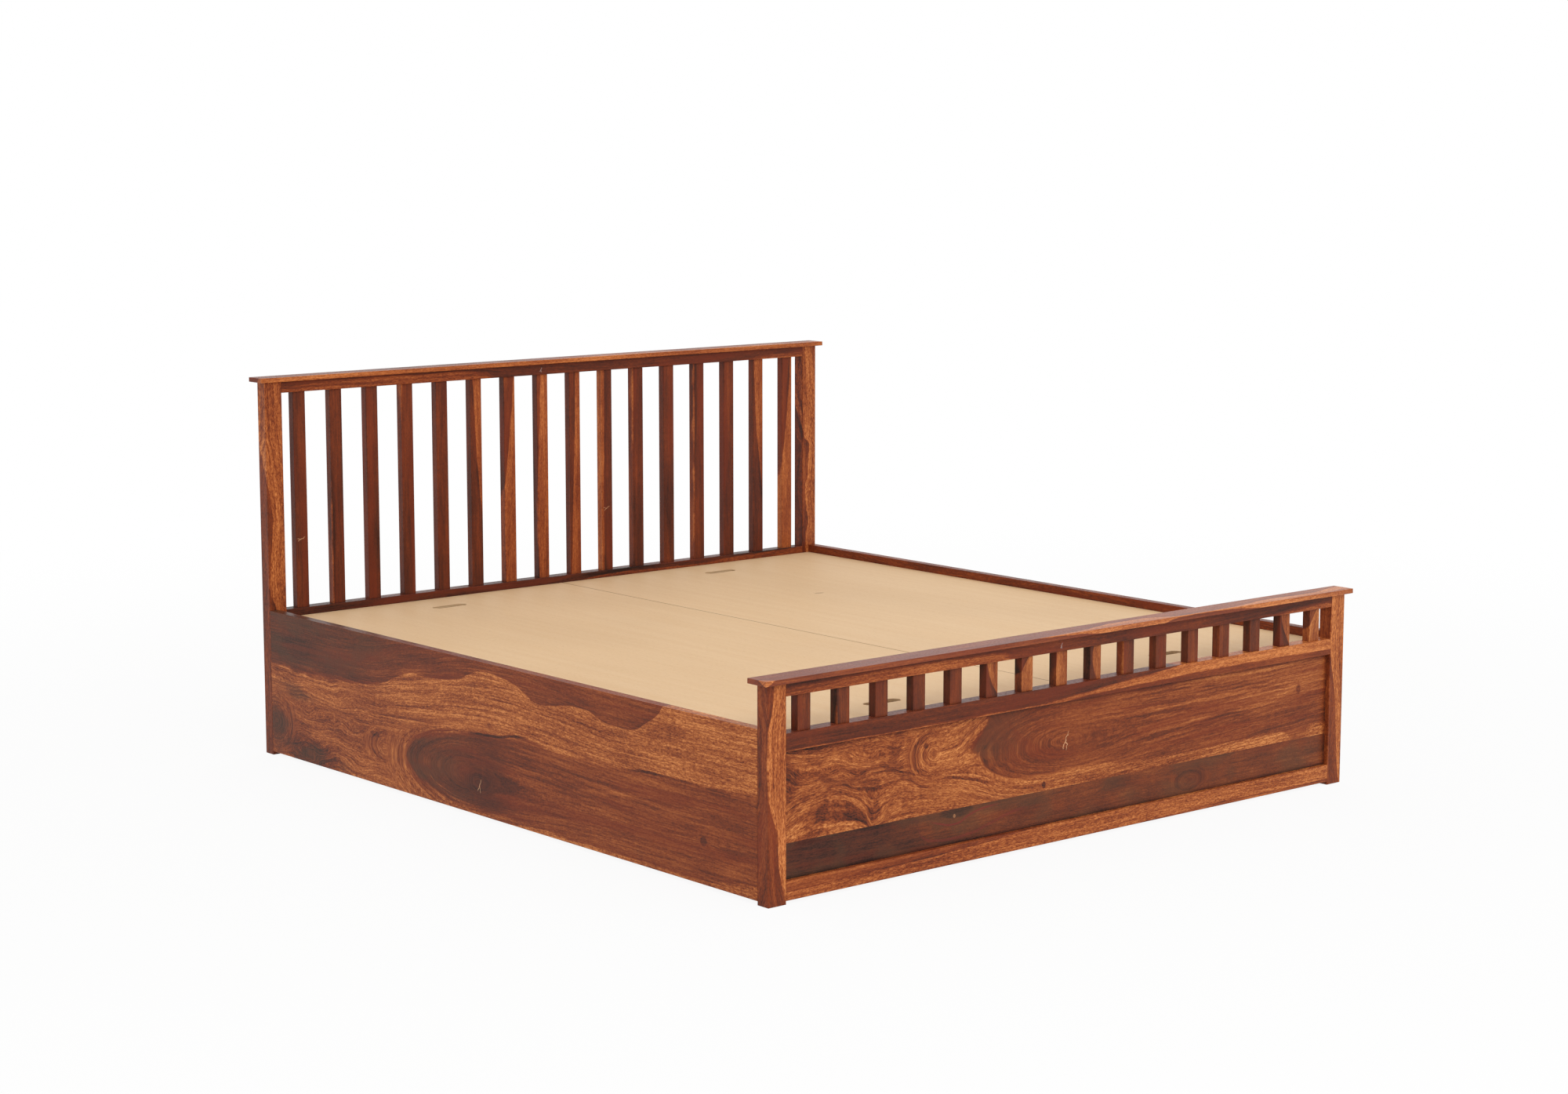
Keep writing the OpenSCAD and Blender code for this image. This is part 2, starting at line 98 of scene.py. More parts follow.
class Finish:
    """The nodes of one material or of the world."""

    def __init__(self, name, owner=None):
        self.owner = owner or bpy.data.materials.new(name)
        self.owner.use_nodes = True
        self.tree = self.owner.node_tree
        self.tree.nodes.clear()

    def node(self, kind, settings, *values, **named):
        """Adds a node: its settings first, then a value or a link for each input that it shows, in order,
        or for an input by its name. None leaves an input as it is. The first output that the node shows
        comes back."""
        made = self.tree.nodes.new(kind)
        for key, value in settings.items():
            if key == "points":
                trace(made.mapping, value)
            elif key == "stops":
                colour_stops(made.color_ramp, value)
            else:
                setattr(made, key, value)
        given = list(zip([socket for socket in made.inputs if socket.enabled], values))
        given += [(made.inputs[name.replace("_", " ")], value) for name, value in named.items()]
        for socket, value in given:
            if isinstance(value, Signal):
                self.tree.links.new(value.socket, socket)
            elif value is not None:
                socket.default_value = value
        outputs = [socket for socket in made.outputs if socket.enabled]
        return Signal(self, outputs[0]) if outputs else None

    def place(self):
        """The point's x, y and z on the object, in metres."""
        point = self.node("ShaderNodeTexCoord", {}).beside("Object")
        x = self.node("ShaderNodeSeparateXYZ", {}, point)
        return x, x.beside("Y"), x.beside("Z")

    def noise(self, x, y, z=None, detail=0.0, rough=0.5):
        """Smooth noise about 0.5 with cells of one unit, in the plane, or in space if z is given."""
        settings = {"noise_dimensions": "2D" if z is None else "3D", "normalize": True}
        where = self.node("ShaderNodeCombineXYZ", {}, x, y, 0.0 if z is None else z)
        return self.node("ShaderNodeTexNoise", settings, where, 1.0, detail, rough)

    def rise(self, value, low, high):
        """0 before low, 1 after high, with an S-shaped rise between. It falls where low is above high."""
        first, last = (0.0, 1.0) if low < high else (1.0, 0.0)
        settings = {"interpolation_type": "SMOOTHSTEP"}
        return self.node("ShaderNodeMapRange", settings, value, min(low, high), max(low, high),
                         first, last)

    def blend(self, share, one, other):
        """A colour that goes from one to other as share goes from 0 to 1."""
        return self.node("ShaderNodeMix", {"data_type": "RGBA", "clamp_factor": True}, share, one, other)

    def line(self, value, points):
        """A smooth curve through (value, result) points, level before the first and after the last."""
        start, span = points[0][0], points[-1][0] - points[0][0]
        low = min(result for _, result in points)
        reach = max(result for _, result in points) - low
        shares = [((place - start) / span, (result - low) / reach) for place, result in points]
        curve = self.node("ShaderNodeFloatCurve", {"points": shares}, 1.0, (value - start) / span)
        return curve * reach + low

    def layers(self, a, b, curves, heights):
        """A height that is level along drawn curves and changes evenly between them. The curves are lists
        of (a, b) points, from the lowest to the highest, and heights has one height for each."""
        lines = [self.line(a, curve) for curve in curves]
        height = (b - lines[0]).least(0.0) + (b - lines[-1]).most(0.0) + heights[0]
        for low, high, step in zip(lines, lines[1:], np.diff(heights).tolist()):
            height = height + ((b - low) / (high - low)).most(0.0).least(1.0) * step
        return height

    def hill(self, a, b, middle, reach, tail=0.0):
        """1 at the middle, falling off all round as 1 / (1 + q) squared, where q is the squared distance
        in units of the reach. A tail is the reach towards lower a, where it differs."""
        across = (a - middle[0]) / reach[0]
        if tail:
            across = across.most((middle[0] - a) / tail)
        up = (b - middle[1]) / reach[1]
        return (across * across + up * up + 1) ** -2.0

    def knot(self, a, b, middle, reach, bow=0.8, tail=0.0):
        """A knot: how near a point is to it, its distance from the middle in metres as an oval that is
        drawn out along the board, and how far the growth lines outside it bow out round it."""
        near = self.hill(a, b, middle, reach, tail)
        return near, (near ** -0.5 - 1.0).most(0.0) ** 0.5 * reach[1], near * (b - middle[1]) * -bow

    def spot(self, a, b, middle, size):
        """A soft-edged oval mark of that half size."""
        return self.rise(self.hill(a, b, middle, size), 0.16, 0.36)

    def shade(self, colour, rough, bump, **constants):
        """The surface's shader, with its varying colour, roughness and bump and its constant values."""
        surface = self.node("ShaderNodeBsdfPrincipled", {}, Base_Color=colour, Roughness=rough,
                            Normal=bump, **constants)
        self.node("ShaderNodeOutputMaterial", {}, surface)
        return self.owner


def trace(mapping, points):
    """Sets the points of a curve widget."""
    curve = mapping.curves[0]
    curve.points[0].location = points[0]
    curve.points[1].location = points[-1]
    for point in points[1:-1]:
        curve.points.new(*point)
    mapping.extend = "HORIZONTAL"
    mapping.update()


def colour_stops(ramp, stops):
    """Sets the colour stops of a ramp."""
    ramp.elements.remove(ramp.elements[0])
    ramp.elements[0].position, ramp.elements[0].color = stops[0]
    for place, colour in stops[1:]:
        ramp.elements.new(place).color = colour


# Tones of the polished rosewood, from the palest honey streak to the darkest heartwood
WOOD_TONES = ((0.0, (226, 152, 90)), (0.14, (196, 122, 67)), (0.32, (163, 91, 49)), (0.5, (132, 66, 37)),
              (0.68, (102, 52, 34)), (0.85, (76, 42, 32)), (1.0, (44, 27, 23)))
DARK_RED = linear(126, 52, 30)
CRACK = linear(222, 168, 126)
OLIVE = linear(90, 64, 46)


def rosewood(name, axes, figure, seed=0.0, tone=0.0, warm=0.8, curl=0.005, grain=1.0, polish=0.13):
    """Polished rosewood for one board, with every tone on one ramp from honey to dark heartwood.

    axes names the axis along the grain, the one across the show face and the one through the board.
    figure gives what is drawn on the board. Its flow is always there, and the rest may be: flow, whose
    level lines are the growth lines; rings, pairs of a mask and another flow that takes over there; edge,
    the depth in metres inside heartwood with a crisp border; soft, the same for a lighter field; fringe,
    how far the growth lines shift that field's border; heart, the share of heartwood of a board with
    neither; bold, how strong the broad lines are; shade, what else makes it darker; and marks, masks and
    colours laid on top.

    seed picks the board's own pattern and tone makes all of it darker. warm turns it from brown towards
    orange, curl is how far its quick waves swing, in metres, grain scales the contrast of its growth
    lines, and polish is how strongly its lacquer shines."""
    f = Finish(name)
    place = dict(zip("xyz", f.place()))
    a, b, c = (place[axis] for axis in axes)
    along = a + seed
    # The wood's waviness: slow swings, quick small ones that make the honey wood curly, and ripples
    slow = f.noise(along * 1.7, b * 6.0, c * 6.0, 1.0) - 0.5
    quick = f.noise(along * 14.0, b * 38.0, c * 38.0, 1.0) - 0.5
    ripple = f.noise(along * 50.0, b * 110.0, c * 110.0, 1.0) - 0.5
    waver = slow * 0.02 + quick * curl + ripple * 0.002
    clouds = f.noise(along * 3.2, b * 13.0, c * 13.0, 3.0, 0.6) - 0.5
    drawn = figure(f, a, b, c)
    lines = growth_lines(f, along, drawn["flow"] + waver)
    for mask, distance in drawn.get("rings", ()):
        closed = growth_lines(f, along, distance + waver + slow * 0.03)
        lines = [line + (ring - line) * mask for line, ring in zip(lines, closed)]
    bands, strands, streaks, flecks, dash = lines
    jitter = quick * 0.006 + slow * 0.006 + ripple * 0.002
    heart, darker = heartwood(f, drawn, jitter, clouds, bands * drawn.get("fringe", 0.0) + quick * 0.012)
    coarse = (bands * 0.4 + strands * 0.1) * ((1 - heart * 0.15) * drawn.get("bold", 1.0))
    fine = dash * (0.2 - heart * 0.1) + streaks * 0.36 + flecks * (0.7 - heart * 0.3)
    shade = clouds * 0.48 + (0.25 + tone) + darker + drawn.get("shade", 0.0) + (coarse + fine) * grain
    stops = [(at, linear(red, green * (1 - warm * 0.08), blue * (1 - warm * 0.12)))
             for at, (red, green, blue) in WOOD_TONES]
    colour = f.node("ShaderNodeValToRGB", {"stops": stops}, shade)
    ruddy = f.noise(along * 2.3, drawn["flow"] * 30.0, None, 2.0)
    colour = f.blend(f.rise(ruddy, 0.48, 0.7) * heart * 0.5, colour, DARK_RED)
    for mask, mark in drawn.get("marks", ()):
        colour = f.blend(mask, colour, mark)
    rough = dash * 0.1 + streaks * 0.12 + 0.33
    bump = f.node("ShaderNodeBump", {}, 0.3, 0.0004, None, streaks * -0.6 - dash)
    return f.shade(colour, rough, bump, Specular_IOR_Level=polish)


def heartwood(f, drawn, jitter, clouds, blur):
    """The share of heartwood at a point, from 0 to 1, and how much darker that makes the wood. jitter
    moves a crisp border, and blur moves a soft one."""
    heart, darker = drawn.get("heart", 0.0), 0.0
    if "edge" in drawn:
        # A crisp border: palest just outside it, and darker in places just inside
        edge = drawn["edge"] + jitter
        heart = f.rise(edge, -0.0015, 0.0015)
        rim = f.rise(edge, 0.014, 0.001) * f.rise(clouds, -0.1, 0.12)
        darker = heart * (rim * 0.13 + 0.27) - f.rise(edge, -0.03, -0.001) * (1 - heart) * 0.06
    if "soft" in drawn:
        field = f.rise(drawn["soft"] + blur, -0.004, 0.006)
        darker = darker + field * 0.19
        heart = heart.most(field) if "edge" in drawn else field
    return heart, darker


def growth_lines(f, along, flow):
    """What follows the growth lines: broad bands, crisp dark and pale strands, thin long streaks, short
    flecks and the dashes of the open pores. The first four swing about 0."""
    bands = f.noise(along * 1.6, flow * 70.0, None, 3.0, 0.62) - 0.5
    wander = f.noise(along * 5.0, flow * 140.0, None, 3.0, 0.6)
    strands = f.rise(wander, 0.52, 0.6) - f.rise(wander, 0.46, 0.38) * 0.6
    streaks = f.noise(along * 9.0, flow * 330.0, None, 2.0, 0.65) - 0.5
    flecks = f.noise(along * 58.0, flow * 230.0, None, 2.0, 0.7) - 0.5
    dash = f.rise(f.noise(along * 130.0, flow * 560.0, None, 1.0, 0.6), 0.46, 0.66)
    return bands, strands, streaks, flecks, dash


def crack(f, a, b, middle, size, lean):
    """A pale forked split in a knot: two thin wavering lines that lean apart, cut off by an oval."""
    waver = (f.noise(a * 80.0, b * 80.0, None, 2.0) - 0.5) * (size * 0.5)
    across, up = a - middle[0], b - middle[1]
    first = abs(across + waver - up * lean)
    second = abs(across - waver + up * (lean * 0.35))
    low = f.rise(up, size * 0.15, -size * 0.1)
    hair = f.rise(first, 0.0017, 0.0006).most(f.rise(second, 0.0014, 0.0004) * low)
    return hair * f.rise(f.hill(a, b, middle, (size * 0.7, size)), 0.22, 0.4)


def border_points(line, steps):
    """The (along, across) points of a border, from steps that each have a place along the piece in metres
    and a distance across it in mm from a line."""
    return [(along, line + distance / 1000) for along, distance in steps]


def strip(points, side, face, lean, tilt=0.6, shade=0.0, flanks=None, split=None):
    """The figure of a post, rail or slat with one border between honey and heartwood, which wanders along
    it through the (along, across) points. The heartwood lies beyond the border for side 1 and before it
    for side -1. The border matches the points on the face at that depth, and for each metre further
    through the piece it moves over by lean, and the growth lines by tilt. shade makes the whole piece
    darker. flanks may give the place of the left face, how much darker that is, partly for its wood and
    partly as painted shade, and how much darker the other faces get towards the piece's lower end. split
    is the place of a pale crack."""

    def figure(f, a, b, c):
        border = f.line(a, points)
        darker = shade
        if flanks:
            left, left_wood_and_shade, low_dark = flanks
            blotch = f.noise(a * 7.0, b * 30.0, c * 30.0, 2.0) - 0.5
            front = f.rise(b, left + 0.0002, left + 0.0012)
            low_end = f.rise(a, 0.85, 0.5)
            # The left face is darker, partly for its wood and partly as painted shade
            darker = (1 - front) * left_wood_and_shade + front * low_end * low_dark + blotch * 0.4 + shade
        marks = [(crack(f, a, b, split, 0.014, 0.5) * 0.5, CRACK)] if split else []
        return {"flow": (b - border * 0.5) + c * tilt, "edge": (b - border) * side + (c - face) * lean,
                "shade": darker, "marks": marks}

    return figure


def panel_recess_shade(f, a, b):
    """How much darker a point of the footboard's panel is for being near the frame round it: painted shade
    of the recess that the panel sits in."""
    top, foot = box("foot_slat_rail")[0][2], box("foot_bottom_rail")[1][2]
    side = f.rise(abs(a), INNER_X - 0.012, INNER_X)
    return side.most(f.rise(b, top - 0.01, top)).most(f.rise(b, foot + 0.01, foot)) * 0.22


def low_board_figure(f, a, b, c):
    """The panel's narrow lower board: chocolate heartwood, redder to the right, with smoky olive patches,
    a dark knot under the glue line that has a pale middle, thin red lines that run below that, and a
    plainer knot on the right."""
    knot, distance, bow = f.knot(a, b, (0.395, 0.085), (0.07, 0.035))
    dark_knot = f.hill(a, b, (-0.385, 0.127), (0.075, 0.022))
    smoke = f.noise(a * 9.0, b * 15.0, None, 2.0) - 0.5
    olive = f.rise(f.noise(a * 7.0 + 5.0, b * 13.0, None, 2.0), 0.45, 0.7)
    under = f.line(a, [(-0.47, 0.118), (-0.437, 0.104), (-0.387, 0.097), (-0.36, 0.105), (-0.343, 0.112),
                       (-0.293, 0.121), (-0.24, 0.124)])
    round_under = f.line(a, [(-0.505, 0.12), (-0.5, 0.097), (-0.487, 0.079), (-0.455, 0.068),
                             (-0.365, 0.066), (-0.275, 0.082), (-0.2, 0.099), (-0.1, 0.106)])
    first = f.rise(abs(b - under + smoke * 0.004), 0.0035, 0.0008) * f.rise(abs(a + 0.36), 0.12, 0.07)
    second = f.rise(abs(b - round_under + smoke * 0.006), 0.005, 0.001) * f.rise(abs(a + 0.34), 0.2, 0.12)
    inside = f.rise(b - round_under, 0.0, 0.01) * f.rise(a, -0.52, -0.49) * f.rise(a, -0.1, -0.3)
    # The wood is darker where the panel meets the frame round it: painted shade of the recess
    shade = (f.rise(a, 0.2, -0.8) * 0.27 + smoke * 0.25
             + f.rise(dark_knot + smoke * 0.3, 0.35, 0.6) * 0.26
             - inside * 0.07 + f.rise(knot, 0.2, 0.7) * 0.1 + panel_recess_shade(f, a, b) + 0.258)
    marks = [(olive * 0.45, OLIVE), (first.most(second * 0.6) * 0.75, linear(128, 52, 44)),
             (f.spot(a, b, (-0.391, 0.116), (0.004, 0.0045)) * 0.7, linear(178, 124, 84))]
    return {"flow": b + c * 0.5 + bow, "rings": [(f.rise(knot, 0.15, 0.4), distance)],
            "heart": 0.5, "shade": shade, "marks": marks}


def left_rail_borders(f, a):
    """The lower boundary of the near plank's top band, and the upper and lower one of its low field."""
    top = f.line(a, [
        (-1.013, 0.5), (-0.72, 0.43), (-0.656, 0.363), (-0.61, 0.338), (-0.557, 0.317), (-0.493, 0.315),
        (-0.434, 0.324), (-0.38, 0.337), (-0.319, 0.335), (-0.257, 0.326), (-0.211, 0.321),
        (-0.154, 0.335), (-0.105, 0.354), (-0.056, 0.363), (0.009, 0.367), (0.083, 0.351), (0.13, 0.333),
        (0.212, 0.321), (0.281, 0.317), (0.329, 0.318), (0.379, 0.306), (0.422, 0.29), (0.48, 0.27),
        (0.568, 0.259), (0.703, 0.245), (0.794, 0.247), (1.013, 0.243)])
    upper = f.line(a, [
        (-1.013, 0.247), (-0.887, 0.232), (-0.704, 0.229), (-0.608, 0.228), (-0.518, 0.219),
        (-0.372, 0.225), (-0.291, 0.216), (-0.145, 0.23), (-0.029, 0.215), (0.08, 0.207),
        (0.216, 0.181), (0.314, 0.156), (0.35, 0.13), (0.372, 0.09), (0.42, 0.0), (1.013, 0.0)])
    lower = f.line(a, [
        (-1.013, 0.042), (-0.886, 0.025), (-0.765, 0.017), (-0.606, 0.015), (-0.444, 0.011),
        (-0.273, 0.016), (-0.135, 0.024), (0.085, 0.025), (0.22, 0.037), (0.289, 0.049),
        (0.337, 0.076), (0.372, 0.11), (0.42, 0.2), (1.013, 0.2)])
    return top, upper, lower


def left_rail_figure(f, a, b, c):
    """The near plank of the box. A band of heartwood lies along its top edge from the head end, with a
    waved lower boundary, and a second field lies low, from a big oval knot to the foot end."""
    top, upper, lower = left_rail_borders(f, a)
    band = b - top
    belly = (upper - b).least(b - lower)
    oval, far_oval, bow_oval = f.knot(a, b, (0.1, 0.1), (0.25, 0.1), bow=0.7, tail=0.5)
    knot, far_knot, bow_knot = f.knot(a, b, (0.045, 0.088), (0.07, 0.035), bow=0.5)
    eye, far_eye, bow_eye = f.knot(a, b, (0.462, 0.112), (0.075, 0.038), bow=0.4)
    end_knot, far_end, bow_end = f.knot(a, b, (0.985, 0.098), (0.085, 0.07))
    toe, _, bow_toe = f.knot(a, b, (0.8, 0.034), (0.11, 0.03))
    patch = f.hill(a, b, (0.88, 0.189), (0.06, 0.03))
    smoke = f.hill(a, b, (-0.3, 0.08), (0.25, 0.06))
    # The ovals round the big knot and the eye are open towards the foot end
    open_oval = f.rise(a, -0.12, 0.08)
    open_eye = f.rise(a, 0.43, 0.48)
    # Low down, the rings of the big knot reach out as far as the eye
    low_down = f.rise(b, 0.2, 0.12)
    rings = [(f.rise(oval + low_down * 0.06, 0.1, 0.22) * open_oval, far_oval),
             (f.rise(knot, 0.15, 0.4) * open_oval, far_knot),
             (f.rise(eye, 0.08, 0.18) * open_eye, far_eye),
             (f.rise(end_knot, 0.07, 0.25) * 0.85, far_end)]
    # Near the top the growth lines follow the long swing of the band, not its scallops
    swing = f.line(a, [(-1.013, 0.015), (-0.56, 0.01), (-0.25, 0.025), (0.0, 0.03), (0.25, 0.0),
                       (0.4, -0.025), (0.6, -0.055), (1.013, -0.055)])
    # The honey wood is curly near the head end
    curls = f.noise(a * 8.0 + 6.0, b * 15.0, None, 1.0) - 0.5
    curls = curls * f.rise(a, 0.42, 0.66) * f.rise(b, 0.28, 0.2)
    flow = (b - swing * f.rise(b, 0.13, 0.34) + c * 0.6 + curls * 0.05
            + bow_oval + bow_knot + bow_eye + bow_end + bow_toe)
    inside = f.rise(belly, -0.004, 0.012)
    left_of_knot = f.rise(a, -0.2, 0.03)
    streak = f.rise(abs(b + a * 0.125 - 0.096), 0.007, 0.002) * f.rise(abs(a + 0.5), 0.2, 0.1)
    shade = (inside * left_of_knot * 0.2 + f.rise(knot, 0.1, 0.7) * 0.12 + f.rise(smoke, 0.2, 0.8) * 0.07
             + f.rise(band, 0.0, 0.02) * f.rise(a, -0.1, 0.4) * 0.05
             - f.rise(band, 0.012, 0.04) * f.rise(a, 0.1, -0.15) * 0.07
             - f.rise(b, 0.2, 0.26) * f.rise(a, -0.55, -0.8) * 0.07 - streak * 0.12
             + f.rise(a, 0.3, 0.55) * 0.04 + f.rise(a, 0.45, 0.95) * 0.06
             + f.rise(end_knot, 0.1, 0.9) * 0.16 + f.rise(toe, 0.08, 0.3) * 0.22)
    puffs = f.noise(a * 8.0, b * 18.0, None, 3.0, 0.6)
    smoky = f.rise(puffs, 0.42, 0.66)
    olive = f.rise(band, 0.0, 0.03) * f.rise(a, 0.2, 0.7) * (smoky * 0.6 + 0.4)
    olive = olive.most(inside * f.rise(a, 0.0, 0.22) * (smoky * 0.6 + 0.4))
    for near in (end_knot, toe, patch):
        olive = olive.most(f.rise(near * 0.8 + (puffs - 0.5) * 1.1, 0.1, 0.7) * 0.85)
    shade = shade + olive * f.rise(a, 0.6, 0.72) * f.rise(band, 0.0, -0.01) * 0.16
    # Two dark lines lie along the lower field's upper boundary
    lip = f.rise(abs(b - upper), 0.005, 0.001)
    lips = f.rise(abs(a + 0.04), 0.14, 0.08).most(f.rise(abs(a + 0.68), 0.15, 0.06))
    shade = shade + lip * lips * 0.5
    arc = f.rise(abs(far_eye - 0.038), 0.009, 0.002) * open_eye * f.rise(eye, 0.07, 0.14)
    shade = shade + arc * 0.13 - f.rise(eye, 0.4, 0.9) * open_eye * 0.05
    spots = f.spot(a, b, (0.503, 0.137), (0.02, 0.007)) * 0.6
    spots = spots.most(f.spot(a, b, (0.0, 0.238), (0.008, 0.006)) * 0.7)
    spots = spots.most(f.spot(a, b, (-0.82, 0.107), (0.012, 0.011)))
    split = crack(f, a, b, (0.043, 0.083), 0.02, -0.5)
    # The top band's border is crisp in the middle and fades out towards the head end
    crisp = band * (1 - f.rise(a, 0.4, 0.75) * 0.85)
    # The broad lines are quieter in the band and in the big knot's rings
    quiet = (rings[0][0] * inside).most(f.rise(band, 0.0, 0.02))
    bold = f.rise(a, 0.0, 0.4) * 0.3 + 1.1 - quiet * 0.4
    return {"flow": flow, "rings": rings, "edge": crisp, "soft": belly,
            "fringe": f.rise(a, 0.1, 0.25) * 0.12 + 0.03, "bold": bold,
            "shade": shade + spots * 0.25, "marks": [(olive * 0.5, OLIVE), (split * 0.8, CRACK)]}


def wandering(level, swing, knot, seed):
    """Wood whose heartwood lies above a border that swings slowly about a level, with one knot."""

    def figure(f, a, b, c):
        wave = f.noise(a * 1.3 + seed, 0.0, None, 1.0) - 0.5
        near, distance, bow = f.knot(a, b, knot, (0.09, 0.045))
        flow = b + c * 0.6 + bow - wave * (swing * 0.4)
        return {"flow": flow, "rings": [(f.rise(near, 0.1, 0.28), distance)],
                "edge": b - wave * swing - level, "shade": f.rise(near, 0.2, 0.6) * 0.16}

    return figure


def foot_board_borders(f, a):
    """The lower and the upper boundary of the heartwood in the footboard's wide board."""
    low = f.line(a, [
        (-0.91, 0.5), (-0.42, 0.5), (-0.365, 0.33), (-0.345, 0.262), (-0.313, 0.232), (-0.255, 0.186),
        (-0.199, 0.172), (-0.11, 0.169), (0.039, 0.170), (0.181, 0.160), (0.291, 0.156), (0.6, 0.160),
        (0.73, 0.158), (0.76, 0.142), (0.79, 0.12), (0.82, 0.12), (0.83, 0.15), (0.85, 0.162),
        (0.91, 0.16)])
    high = f.line(a, [
        (-0.91, 0.0), (-0.42, 0.0), (-0.365, 0.2), (-0.345, 0.258), (-0.321, 0.285), (-0.284, 0.335),
        (-0.24, 0.42), (-0.1, 0.5), (0.91, 0.5)])
    return low, high


def foot_board_curves(f, a, b):
    """A height whose level lines are the growth lines on the left of the footboard's wide board. They
    are drawn: an arch, two long lines above it that sweep down to the right, and one that runs up over
    the heartwood's tip."""
    curves = [
        [(-0.905, 0.1), (-0.3, 0.09), (0.0, 0.0)],
        [(-0.905, 0.172), (-0.891, 0.182), (-0.858, 0.197), (-0.826, 0.207), (-0.786, 0.213),
         (-0.732, 0.204), (-0.689, 0.188), (-0.664, 0.168), (-0.65, 0.148), (-0.639, 0.138),
         (-0.625, 0.145), (-0.57, 0.168), (-0.509, 0.171), (-0.437, 0.164), (-0.365, 0.15),
         (-0.293, 0.135), (-0.2, 0.118), (0.0, 0.07)],
        [(-0.905, 0.213), (-0.891, 0.218), (-0.833, 0.233), (-0.797, 0.239), (-0.732, 0.240),
         (-0.703, 0.229), (-0.675, 0.222), (-0.631, 0.218), (-0.581, 0.222), (-0.545, 0.216),
         (-0.509, 0.204), (-0.473, 0.195), (-0.401, 0.186), (-0.329, 0.168), (-0.257, 0.146),
         (-0.2, 0.135), (0.0, 0.12)],
        [(-0.905, 0.292), (-0.891, 0.283), (-0.851, 0.265), (-0.79, 0.26), (-0.732, 0.256),
         (-0.682, 0.245), (-0.631, 0.249), (-0.595, 0.251), (-0.559, 0.243), (-0.523, 0.231),
         (-0.491, 0.224), (-0.401, 0.217), (-0.329, 0.204), (-0.279, 0.188), (-0.2, 0.17), (0.0, 0.165)],
        [(-0.905, 0.325), (-0.85, 0.305), (-0.79, 0.3), (-0.72, 0.297), (-0.66, 0.285), (-0.617, 0.283),
         (-0.581, 0.272), (-0.545, 0.281), (-0.5, 0.275), (-0.455, 0.268), (-0.401, 0.272),
         (-0.347, 0.296), (-0.275, 0.33), (-0.2, 0.345), (0.0, 0.36)],
        [(-0.905, 0.37), (0.0, 0.38)]]
    return f.layers(a, b, curves, [0.1, 0.165, 0.205, 0.24, 0.285, 0.37])


